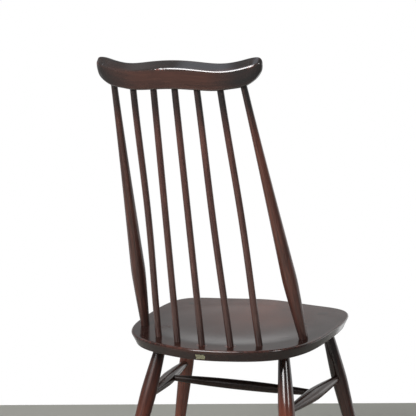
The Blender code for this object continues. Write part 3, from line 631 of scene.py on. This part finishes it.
def wedge(name, node, point, way, out, diameter, wood):
    """Tapered blade across a tenon, its thick end level with the surface at point.

    way is the tenon's axis, and out the surface's normal, along which it stands just proud.
    """
    z = way.normalized()
    y = z.cross(Vector((1.0, 0.0, 0.0))).normalized()
    axes = Matrix((y.cross(z), y, z)).transposed().to_4x4()
    slope = axes.to_3x3().transposed() @ out
    width = diameter / 2.0 - WEDGE_MARGIN
    bm = bmesh.new()
    bmesh.ops.create_cube(bm, size=2.0)
    for corner in bm.verts:
        spot = Vector((corner.co.x * width, corner.co.y * WEDGE_THIN / 2.0, -WEDGE_LENGTH))
        if corner.co.z > 0.0:
            spot.y = corner.co.y * WEDGE_THICK / 2.0
            spot.z = (WEDGE_PROUD - spot.x * slope.x - spot.y * slope.y) / slope.z
        corner.co = spot
    bmesh.ops.bevel(bm, geom=bm.edges[:], offset=WEDGE_BEVEL, segments=2, profile=0.5,
                    affect="EDGES")
    mesh = bpy.data.meshes.new(name)
    bm.transform(Matrix.Translation(point) @ axes)
    bm.to_mesh(mesh)
    bm.free()
    store(mesh, "grain", [v.co for v in mesh.vertices])
    finish_piece(name, mesh, wood, node, WEDGE_SHARP)


# End grain of beech drinks more stain, so it is nearly as dark as the seat, with fine dots
end_grain = lacquered_wood(
    "stained_beech_end_grain", stain=("#1f1613", "#2b1f1b", "#3a2a24"),
    figure=(0.0022, 0.020), streak=(0.0008, 0.020), shade="#241a17", worn="#8a5343",
    gloss=(0.13, 0.20), pore=(0.0005, 0.004), relief=(0.0, 0.0))

for row, foot, top, _, _, normal in LEG_ROWS:
    for word, side in (("left", 1), ("right", -1)):
        low, high = mirror_point(foot, side), mirror_point(top, side)
        wedge("leg_wedge_blade_%s_%s" % (row, word), "leg_wedge_%s_%s" % (row, word),
              high, high - low, mirror_point(normal, side), LEG_TENON_DIAMETER, end_grain)


# Stretchers
# Two side stretchers, turned as long double cones, join the legs, and a slimmer one joins
# those two. Beech, their ends let into bored sockets and glued; satin, scuffed by shoes.

SIDE_BACK = (0.15058, 0.06078, 0.30500)
SIDE_FRONT = (0.17821, -0.19425, 0.31560)
CROSS_END = (0.16534, -0.07549, 0.31066)
SIDE_END_DIAMETER = 0.0144
SIDE_MIDDLE_DIAMETER = 0.0280
CROSS_END_DIAMETER = 0.0126
CROSS_MIDDLE_DIAMETER = 0.0210
SIDE_TENON_START = -0.0035
CROSS_TENON_START = -0.0020
RUNG_WEAR = 0.08

# The same beech with more brown in it, and a softer lacquer that scatters a broad sheen
scuffed_beech = lacquered_wood(
    "scuffed_satin_beech", stain=("#30231f", "#3e2c26", "#503a31"),
    figure=(0.006, 0.100), streak=(0.0020, 0.040), shade="#261d1a", worn="#7a5648",
    gloss=(0.16, 0.25), pore=(0.0007, 0.006), relief=(0.000008, 0.00001))


def stretcher(name, node, start, end, tenon, shoulder, end_diameter, middle, fullness, seed,
              dull=0.0):
    """Turned rung between two points; shoulder is where its taper starts from each of them."""
    length = (end - start).length
    way = (end - start) / length
    mesh = turn(
        name, foot=start + way * tenon, head=end - way * tenon,
        low_shoulder=shoulder - tenon, swell_at=length / 2.0 - tenon,
        high_shoulder=length - shoulder - tenon, foot_diameter=end_diameter,
        swell_diameter=middle, head_diameter=end_diameter, low_fullness=fullness,
        high_fullness=fullness, softening=5, stations=100, sides=56, grain_start=seed,
        wood=scuffed_beech)
    # dull darkens the colour as well as the gloss
    for layer, value in (("wear", RUNG_WEAR), ("tone_and_shade", dull), ("dull", dull)):
        store(mesh, layer, np.full(len(mesh.vertices), value))
    finish_piece(name, mesh, scuffed_beech, node)


for word, side in (("left", 1), ("right", -1)):
    stretcher("side_rung_" + word, "side_stretcher_" + word, mirror_point(SIDE_BACK, side),
              mirror_point(SIDE_FRONT, side), SIDE_TENON_START, LEG_SWELL_DIAMETER / 2.0,
              SIDE_END_DIAMETER, SIDE_MIDDLE_DIAMETER, 1.36, 1.3 * side)
# Under the seat, the cross rung is darkened with painted shade, and its gloss is dulled
stretcher("cross_rung", "cross_stretcher", mirror_point(CROSS_END, 1),
          mirror_point(CROSS_END, -1), CROSS_TENON_START, SIDE_MIDDLE_DIAMETER / 2.0,
          CROSS_END_DIAMETER, CROSS_MIDDLE_DIAMETER, 2.1, 2.1, dull=0.8)


# Back posts
# Two vase-turned posts of beech that go down through the seat and up into the crest rail.
# They lean back and spread less towards the top, and carry the whole of the back.

POST_FOOT_DIAMETER = 0.0180
POST_SWELL_DIAMETER = 0.0292
POST_TOP_DIAMETER = 0.0122
POST_SWELL_DISTANCE = 0.135
POST_SHOULDER = 0.002
POST_OVERRUN = 0.036
RAIL_SOCKET = 0.0177
# Word, foot on the seat, top at the rail's underside, and where its axis leaves the seat
POSTS = (
    ("left", (0.17231, 0.02338, 0.44571), (0.12880, 0.22819, 0.94135),
     (0.17437, 0.01369, 0.42225)),
    ("right", (-0.17231, 0.02338, 0.44571), (-0.12880, 0.22754, 0.93856),
     (-0.17438, 0.01366, 0.42225)),
)
SEAT_UNDER_NORMAL = Vector((0.0, -0.05582, -0.99844))

# Satin-lacquered beech, a little redder than the spindles; darker and greyer at the top,
# where the rail's shadow is painted on, and darker close to the seat
post_beech = lacquered_wood(
    "red_brown_satin_lacquered_beech", stain=("#4b2e27", "#623b31", "#78493d"),
    figure=(0.007, 0.120), streak=(0.0022, 0.045), shade="#2b2726", worn="#8a5f50",
    gloss=(0.16, 0.25), pore=(0.0007, 0.006), relief=(0.000008, 0.00001))
# Heights where the sticks start to darken and have done so: upwards, the rail's painted
# shadow, and twice downwards
RAIL_SHADOW_HEIGHTS = (0.845, 0.905)
DARKER_BELOW = (0.820, 0.670)
DARK_FOOT = (0.545, 0.465)


def stick_shadow_and_tone(mesh, least=0.0):
    """Paint the rail's shadow on a stick's top and darken it, less, downwards to the seat."""
    heights = np.array([v.co.z for v in mesh.vertices])
    low = 0.2 * fade(heights, *DARKER_BELOW) + 0.4 * fade(heights, *DARK_FOOT)
    store(mesh, "tone_and_shade", np.maximum(np.maximum(fade(heights, *RAIL_SHADOW_HEIGHTS), low), least))


for word, foot, top, under in POSTS:
    foot, top, under = Vector(foot), Vector(top), Vector(under)
    length = (top - foot).length
    way = (top - foot) / length
    mesh = turn(
        "post", foot=foot - way * POST_OVERRUN, head=top + way * RAIL_SOCKET,
        low_shoulder=POST_OVERRUN + POST_SHOULDER, swell_at=POST_OVERRUN + POST_SWELL_DISTANCE,
        high_shoulder=POST_OVERRUN + length, foot_diameter=POST_FOOT_DIAMETER,
        swell_diameter=POST_SWELL_DIAMETER, head_diameter=POST_TOP_DIAMETER,
        low_fullness=1.2, high_lead=1.35, softening=6, stations=130, sides=60,
        grain_start=3.1 if word == "left" else 4.3, wood=post_beech)
    saw(mesh, under + SEAT_UNDER_NORMAL * LEG_PROUD, SEAT_UNDER_NORMAL, 0.0)
    stick_shadow_and_tone(mesh, 0.50 if word == "left" else 0.0)
    finish_piece("turned_post_" + word, mesh, post_beech, "back_post_" + word)


# Post wedges
# The same kind of blade as in the legs, driven up into the foot of each post from below and
# pared off level with the seat's underside. Beech, and only its end grain shows.

for word, foot, top, under in POSTS:
    wedge("post_wedge_blade_" + word, "post_wedge_" + word, Vector(under),
          Vector(under) - Vector(top), SEAT_UNDER_NORMAL, POST_FOOT_DIAMETER, end_grain)


# Spindles
# Five plain, barely tapered sticks of beech between the posts, each in a blind hole in the
# seat and in the rail. Three have warped a little with age, most at half their height.

SPINDLE_FOOT_DIAMETER = 0.0132
SPINDLE_TOP_DIAMETER = 0.0124
SEAT_SOCKET = 0.0177
# Top at the rail's underside, and the bow at half height, for each of SPINDLE_FEET
SPINDLES = (
    ((0.08650, 0.23410, 0.93358), (-0.0033, -0.0017, 0.0)),
    ((0.04300, 0.23880, 0.93347), (0.0, 0.0, 0.0)),
    ((0.00000, 0.24060, 0.93460), (0.0, 0.0, 0.0)),
    ((-0.04300, 0.23858, 0.93254), (0.0017, 0.0007, 0.0)),
    ((-0.08650, 0.23366, 0.93171), (-0.0027, -0.0012, 0.0)),
)
# The same satin finish on beech that has stayed a little purple, with the rail's shadow
# painted on its tops
back_beech = lacquered_wood(
    "satin_lacquered_beech", stain=("#4b332f", "#5e3f38", "#724e45"),
    figure=(0.006, 0.110), streak=(0.0020, 0.045), shade="#2b2726", worn="#8a5f50",
    gloss=(0.16, 0.25), pore=(0.0007, 0.006), relief=(0.000008, 0.00001))

for number, (foot, (top, bow)) in enumerate(zip(SPINDLE_FEET, SPINDLES)):
    foot, top = Vector(foot), Vector(top)
    length = (top - foot).length
    way = (top - foot) / length
    mesh = turn(
        "stick", foot=foot - way * SEAT_SOCKET, head=top + way * RAIL_SOCKET,
        low_shoulder=SEAT_SOCKET, swell_at=SEAT_SOCKET + length / 2.0,
        high_shoulder=SEAT_SOCKET + length, foot_diameter=SPINDLE_FOOT_DIAMETER,
        swell_diameter=(SPINDLE_FOOT_DIAMETER + SPINDLE_TOP_DIAMETER) / 2.0,
        head_diameter=SPINDLE_TOP_DIAMETER, bow=bow, softening=0, stations=90, sides=40,
        grain_start=5.0 + 1.7 * number, wood=back_beech)
    stick_shadow_and_tone(mesh, 0.35 if number == 0 else 0.0)
    finish_piece("stick_%d" % (number + 1), mesh, back_beech,
                 "spindle_%d" % (number + 1))


# Crest rail
# A bow-shaped board of beech, bent to the sitter's back, with a wide bevel along the back of
# its top edge. Glossy; the crease of the bevel is chipped and rubbed through to red wood.

RAIL_HEIGHT = 0.9346
RAIL_MIDDLE_Y = 0.24060
BACK_LEAN = math.tan(math.radians(13.1))
RAIL_BEND_RADIUS = 0.600
RAIL_THICKNESS = 0.0220
RAIL_TOP_WIDTH = 0.0060
RAIL_BEVEL_HEIGHT = 0.0155
RAIL_BACK_CROWN = 0.0008
RAIL_END_ROUND = 0.0220
RAIL_TIP_FORWARD = 0.0024
RAIL_UPPER_EDGE = (
    (0.0000, 0.0516), (0.0400, 0.0498), (0.0650, 0.0474), (0.0840, 0.0462), (0.1040, 0.0472),
    (0.1310, 0.0526), (0.1450, 0.0562), (0.1535, 0.0574), (0.1602, 0.0563), (0.1636, 0.0514),
)
RAIL_LOWER_EDGE = (
    (0.0000, 0.0000), (0.0300, -0.0009), (0.0600, -0.0024), (0.0850, -0.0021), (0.1050, 0.0007),
    (0.1320, 0.0066), (0.1450, 0.0144), (0.1530, 0.0210), (0.1585, 0.0275), (0.1628, 0.0358),
)
RAIL_TIP = (0.1642, 0.0449)
RAIL_TILT = math.tan(math.radians(0.62))
RAIL_STATIONS_PER_SPAN = 14
# Radius and facets at each corner of its section, from the lower front round the back to the
# upper front: two arrises, the crease of the bevel, and the two top arrises
RAIL_ROUNDS = ((0.0035, 7), (0.0035, 7), (0.0085, 12), (0.0026, 8), (0.0026, 8))
# Points along the flat after each of them
RAIL_FLATS = (3, 10, 5, 1, 8)
# The point in the middle of the crease, and how many points its wear spreads over
CREASE_POINT = sum(r[1] + 1 for r in RAIL_ROUNDS[:2]) + sum(RAIL_FLATS[:2]) + RAIL_ROUNDS[2][1] // 2
CREASE_SPREAD = 3.5
# Small dents that knocks have left in the crease: place along the rail, half length, depth
DENTS = (
    (0.0360, 0.0013, 0.00030), (0.0300, 0.0018, 0.00045), (0.0240, 0.0014, 0.00035),
    (0.0175, 0.0020, 0.00045), (0.0110, 0.0015, 0.00030), (-0.1430, 0.0015, 0.00035),
)
# The way that the crease faces: backwards and upwards
DENT_WAY = np.array((0.83, 0.56))


def rail_edge_lines():
    """The rail's elevation as a closed curve, with its knots from tip to tip both ways."""
    right_upper = [(-x, z) for x, z in RAIL_UPPER_EDGE[:0:-1]]
    right_lower = [(-x, z) for x, z in RAIL_LOWER_EDGE[1:]]
    loop = [(-RAIL_TIP[0], RAIL_TIP[1])] + right_upper + list(RAIL_UPPER_EDGE)
    loop += [RAIL_TIP] + list(RAIL_LOWER_EDGE[::-1]) + right_lower
    points = np.array(loop)
    spans = np.hypot(*(np.roll(points, -1, axis=0) - points).T)
    knots = np.concatenate(([0.0], np.cumsum(spans[:-1])))
    count = len(RAIL_UPPER_EDGE) * 2
    lower = [float(spans.sum())] + list(knots[:count - 1:-1])
    return closed_curve(knots, points, float(spans.sum())), list(knots[:count + 1]), lower


def rail_place(x, offset, rise):
    """Where a point of the rail stands: offset is towards its back, rise is upwards."""
    bend = np.arcsin(np.clip(x / RAIL_BEND_RADIUS, -1.0, 1.0))
    rise = rise + x * RAIL_TILT
    plan_x = x + offset * np.sin(bend)
    plan_y = RAIL_MIDDLE_Y - RAIL_BEND_RADIUS * (1.0 - np.cos(bend)) + offset * np.cos(bend)
    return np.stack((plan_x, plan_y + rise * BACK_LEAN, RAIL_HEIGHT + rise), axis=1)


def rounded(corners, rounds, flat_steps):
    """Round each corner of a closed polygon and put flat_steps points along each side."""
    count = len(corners)
    arcs = []
    for i in range(count):
        corner = corners[i]
        before = corners[i - 1] - corner
        after = corners[(i + 1) % count] - corner
        reach_before, reach_after = np.hypot(*before), np.hypot(*after)
        before, after = before / reach_before, after / reach_after
        half = math.acos(max(-1.0, min(1.0, float(before @ after)))) / 2.0
        setback = min(rounds[i][0] / math.tan(half), 0.45 * reach_before, 0.45 * reach_after)
        radius = setback * math.tan(half)
        centre = corner + (before + after) / np.hypot(*(before + after)) * radius / math.sin(half)
        start, end = corner + before * setback - centre, corner + after * setback - centre
        sweep = math.pi - 2.0 * half
        turn_way = math.copysign(1.0, start[0] * end[1] - start[1] * end[0])
        arc = []
        for share in np.linspace(0.0, 1.0, rounds[i][1] + 1):
            a = turn_way * sweep * share
            c, s = math.cos(a), math.sin(a)
            arc.append(centre + np.array((c * start[0] - s * start[1], s * start[0] + c * start[1])))
        arcs.append(arc)
    points = []
    for i, arc in enumerate(arcs):
        points += arc
        ahead = arcs[(i + 1) % count][0]
        for share in np.linspace(0.0, 1.0, flat_steps[i] + 2)[1:-1]:
            points.append(arc[-1] + (ahead - arc[-1]) * share)
    return np.array(points)


def rail_section(height, thickness):
    """Section as rows of (offset towards the back, level), from the lower front corner."""
    half = thickness / 2.0
    bevel = min(RAIL_BEVEL_HEIGHT, 0.36 * height)
    top = min(RAIL_TOP_WIDTH, 0.4 * thickness)
    corners = np.array((
        (-half, 0.0), (half, 0.0), (half, height - bevel), (-half + top, height), (-half, height)))
    section = rounded(corners, RAIL_ROUNDS, RAIL_FLATS)
    back = np.clip((section[:, 1] - 0.004) / (height - bevel - 0.008), 0.0, 1.0)
    bulge = RAIL_BACK_CROWN * min(1.0, thickness / RAIL_THICKNESS) * np.sin(math.pi * back)
    section[:, 0] += bulge * (section[:, 0] > half * 0.98)
    return section


def rail_body():
    """The rail's mesh, with its grain along the bend and the wear of its crease."""
    outline, upper, lower = rail_edge_lines()
    stations = np.arange(1, (len(upper) - 1) * RAIL_STATIONS_PER_SPAN) / RAIL_STATIONS_PER_SPAN
    index = stations.astype(int)
    share = stations - index
    upper, lower = np.array(upper), np.array(lower)
    over = outline(upper[index] + (upper[index + 1] - upper[index]) * share)
    under = outline(lower[index] + (lower[index + 1] - lower[index]) * share)
    rings, grains, wears = [], [], []
    for (over_x, over_z), (under_x, under_z) in zip(over, under):
        height = over_z - under_z
        to_tip = RAIL_TIP[0] - abs(over_x + under_x) / 2.0
        roundness = min(1.0, to_tip / RAIL_END_ROUND)
        fullness = math.sqrt(1.0 - (1.0 - roundness) ** 2)
        forward = RAIL_TIP_FORWARD * (1.0 - fullness)
        section = rail_section(height, RAIL_THICKNESS * fullness)
        steps = np.arange(len(section))
        near_crease = np.exp(-((steps - CREASE_POINT) / CREASE_SPREAD) ** 2)
        for place, reach, depth in DENTS:
            dent = depth * math.exp(-((over_x - place) / reach) ** 2) * near_crease
            section -= dent[:, None] * DENT_WAY
        x = under_x + (over_x - under_x) * section[:, 1] / height
        rings.append(rail_place(x, section[:, 0] - forward, under_z + section[:, 1]))
        grains.append(np.stack((section[:, 0], section[:, 1], x), axis=1))
        wears.append(near_crease)
    tips = [rail_place(np.array([s * RAIL_TIP[0]]), -RAIL_TIP_FORWARD, RAIL_TIP[1])[0]
            for s in (-1, 1)]
    mesh = mesh_from_rings("bowed_rail", np.array(rings), tips[0], tips[1])
    grain = np.concatenate(grains + [np.array(((0, RAIL_TIP[1], -RAIL_TIP[0]),
                                               (0, RAIL_TIP[1], RAIL_TIP[0])))])
    return mesh, grain, np.append(np.concatenate(wears), (0.0, 0.0))


rail_mesh, rail_grain, crease_wear = rail_body()
# Where the crease is chipped or rubbed: distance along the rail, half length, strength
RUBBED = ((0.021, 0.008, 0.9), (-0.137, 0.012, 0.6), (0.160, 0.006, 0.6))
RUBBED_ELSEWHERE = 0.03
_, level, along = rail_grain.T
worn_here = np.full(len(along), RUBBED_ELSEWHERE)
for middle, reach, strength in RUBBED:
    worn_here = np.maximum(worn_here, strength * np.exp(-((along - middle) / reach) ** 2))
store(rail_mesh, "grain", rail_grain)
store(rail_mesh, "wear", crease_wear * worn_here)
# Bevel and ends are darker than the bleached middle of the back
bleached = fade(along, -0.120, -0.064) * fade(along, 0.145, 0.060)
store(rail_mesh, "tone_and_shade", np.maximum(1.0 - bleached, fade(level, 0.030, 0.038)))
# Beech again, bleached to a warm brown across the middle of its back, greyer at the ends
rail_beech = lacquered_wood(
    "glossy_lacquered_beech", stain=("#3a2721", "#452c25", "#53372e"),
    figure=(0.008, 0.150), streak=(0.0024, 0.050), shade="#262322", worn="#8f4a3a",
    gloss=(0.10, 0.15), pore=(0.0008, 0.007), relief=(0.000002, 0.000004), ior=1.75)
finish_piece("bowed_rail", rail_mesh, rail_beech, "crest_rail")


# Floor
# A plain pale grey floor, square to the view, whose edge lies a metre from the chair's middle.
# Past it all is white, as in the photo.

FLOOR_HALF = 1.010
VIEW_YAW = math.radians(23.396)
floor_mesh = bpy.data.meshes.new("floor")
corners = [(FLOOR_HALF * a, FLOOR_HALF * b, 0.0) for a, b in ((-1, -1), (1, -1), (1, 1), (-1, 1))]
floor_mesh.from_pydata(corners, [], [(0, 1, 2, 3)])
floor_mesh.transform(Matrix.Rotation(VIEW_YAW, 4, "Z"))
concrete = bpy.data.materials.new("pale_grey_floor")
concrete.use_nodes = True
paint = concrete.node_tree.nodes["Principled BSDF"]
paint.inputs["Base Color"].default_value = linear("#a6a69f")
paint.inputs["Roughness"].default_value = 0.75
floor_mesh.materials.append(concrete)
add_object("floor", floor_mesh)


# Studio
# What the lacquer mirrors is a room: a white wall past the chair, dimmer in a band below the
# horizon and in a wider one above it, dark sides, and a pale ceiling. Two windows stand behind
# the camera. A panel that only lights the colours shines from the larger one.

# Degrees above the horizon and the wall's strength there
WALL_BY_ELEVATION = (
    (-24, 1.25), (-13, 0.45), (-4, 0.55), (0, 1.25), (2, 1.25), (6, 0.70), (9, 0.64), (12, 0.59),
    (14, 0.50), (16.5, 0.38), (18, 0.39), (20, 0.45), (22, 0.52), (25, 0.54), (27, 0.80),
    (29, 0.95),
)
WALL_TOP = 35
WALL_BRIGHTEST = 1.25
ROOM_SIDES = 0.20
# How bright the room is for the wood's own colours
FILL_LIGHT = 0.36
# The pale patch of ceiling and the glow over the larger window: azimuth and elevation,
# degrees to the rim and to the even middle, and strength
CEILING = (20, 76, 19, 8, 0.85)
WINDOW_GLOW = (33, 57, 11, 3, 3.0)

world = bpy.data.worlds.new("white_room")
bpy.context.scene.world = world
world.use_nodes = True
sky = world.node_tree
sky.nodes.clear()
ray = add_node(sky, "ShaderNodeLightPath").outputs
aim = add_node(sky, "ShaderNodeTexCoord").outputs["Generated"]


def direction(azimuth, elevation):
    """Unit vector of a direction in degrees; azimuth is from +Y towards +X."""
    a, e = math.radians(azimuth), math.radians(elevation)
    return Vector((math.sin(a) * math.cos(e), math.cos(a) * math.cos(e), math.sin(e)))


def facing(way, low, high, to_low, to_high):
    """Smooth change of a value with the cosine between the ray and a direction."""
    cosine = add_node(sky, "ShaderNodeVectorMath", {0: aim, 1: way}, operation="DOT_PRODUCT")
    return add_node(sky, "ShaderNodeMapRange", {
        "Value": cosine.outputs["Value"], 1: low, 2: high, 3: to_low, 4: to_high},
        interpolation_type="SMOOTHSTEP").outputs[0]


def product(first, second):
    return maths(sky, "MULTIPLY", first, second)


lowest = math.sin(math.radians(WALL_BY_ELEVATION[0][0]))
highest = math.sin(math.radians(WALL_TOP))
level_share = add_node(sky, "ShaderNodeMapRange", {
    "Value": add_node(sky, "ShaderNodeSeparateXYZ", {0: aim}).outputs[2],
    1: lowest, 2: highest}).outputs[0]
height_ramp = add_node(sky, "ShaderNodeValToRGB", {0: level_share})
stops = height_ramp.color_ramp.elements
for number, (elevation, strength) in enumerate(WALL_BY_ELEVATION):
    place = (math.sin(math.radians(elevation)) - lowest) / (highest - lowest)
    stop = stops[number] if number < 2 else stops.new(place)
    stop.position = place
    stop.color = (*([strength / WALL_BRIGHTEST] * 3), 1.0)
away = Vector((math.sin(VIEW_YAW), -math.cos(VIEW_YAW), 0.0))
rightwards = Vector((-math.cos(VIEW_YAW), -math.sin(VIEW_YAW), 0.0))
wall = product(product(height_ramp.outputs[0], WALL_BRIGHTEST),
               product(facing(rightwards, -0.16, 0.10, 0.70, 1.10),
                       facing(rightwards, 0.22, 0.60, 1.00, 1.45)))
room = add_node(sky, "ShaderNodeMix", {
    0: facing(away, -0.10, 0.45, 0.0, 1.0), 2: ROOM_SIDES, 3: wall}).outputs[0]
glow = add_node(sky, "ShaderNodeMix", {0: ray["Is Diffuse Ray"], 2: room, 3: FILL_LIGHT}).outputs[0]
glow = add_node(sky, "ShaderNodeMix", {0: ray["Is Camera Ray"], 2: glow, 3: 1.0}).outputs[0]
shell = add_node(sky, "ShaderNodeBackground", {"Color": (1.0, 1.0, 1.0, 1.0), "Strength": glow})
for azimuth, elevation, rim, middle, strength in (CEILING, WINDOW_GLOW):
    patch = facing(direction(azimuth, elevation), math.cos(math.radians(rim)),
                   math.cos(math.radians(middle)), 0.0, strength)
    bluish = add_node(sky, "ShaderNodeBackground", {
        "Color": linear("#e6efff"), "Strength": product(patch, ray["Is Glossy Ray"])})
    shell = add_node(sky, "ShaderNodeAddShader", {0: shell.outputs[0], 1: bluish.outputs[0]})
add_node(sky, "ShaderNodeOutputWorld", {"Surface": shell.outputs[0]})


def panel(name, azimuth, elevation, distance, width, height, radiance, mirrored_only):
    """Soft rectangular panel that faces the chair, either only mirrored or only lighting."""
    light = bpy.data.lights.new(name, "AREA")
    light.shape = "RECTANGLE"
    light.size = width
    light.size_y = height
    light.energy = radiance * math.pi * width * height
    lamp = add_object(name, light)
    way = direction(azimuth, elevation)
    lamp.location = Vector((0.0, 0.1, 0.6)) + way * distance
    lamp.rotation_euler = way.to_track_quat("Z", "Y").to_euler()
    lamp.visible_camera = False
    lamp.visible_glossy = mirrored_only
    lamp.visible_diffuse = not mirrored_only


panel("daylight", 14.0, 34.0, 3.0, 1.80, 1.00, 19.0, False)
panel("window_left", 15.0, 35.0, 8.0, 4.90, 3.90, 15.0, True)
panel("window_right", -61.0, 28.5, 8.0, 1.90, 2.50, 11.0, True)


# Camera
# Stands about two metres behind the chair and to its right, at the height of the crest rail,
# and looks slightly down. Place, turn and lens are those found from the photo.

VIEW_PITCH = math.radians(6.683)
VIEW_ROLL = math.radians(-0.299)
VIEW_PLACE = (-0.9103, 2.19626, 0.9717)
SENSOR_WIDTH = 36.0
FOCAL_LENGTH = 103.29
lens = bpy.data.cameras.new("camera")
lens.sensor_width = SENSOR_WIDTH
lens.lens = FOCAL_LENGTH
camera = add_object("camera", lens)
forward = Vector((math.sin(VIEW_YAW) * math.cos(VIEW_PITCH),
                  -math.cos(VIEW_YAW) * math.cos(VIEW_PITCH), -math.sin(VIEW_PITCH)))
upright = rightwards.cross(forward)
c, s = math.cos(VIEW_ROLL), math.sin(VIEW_ROLL)
axes = Matrix((c * rightwards + s * upright, -s * rightwards + c * upright, -forward)).transposed()
camera.matrix_world = Matrix.Translation(VIEW_PLACE) @ axes.to_4x4()
bpy.context.scene.camera = camera
bpy.context.scene.view_settings.view_transform = "Standard"
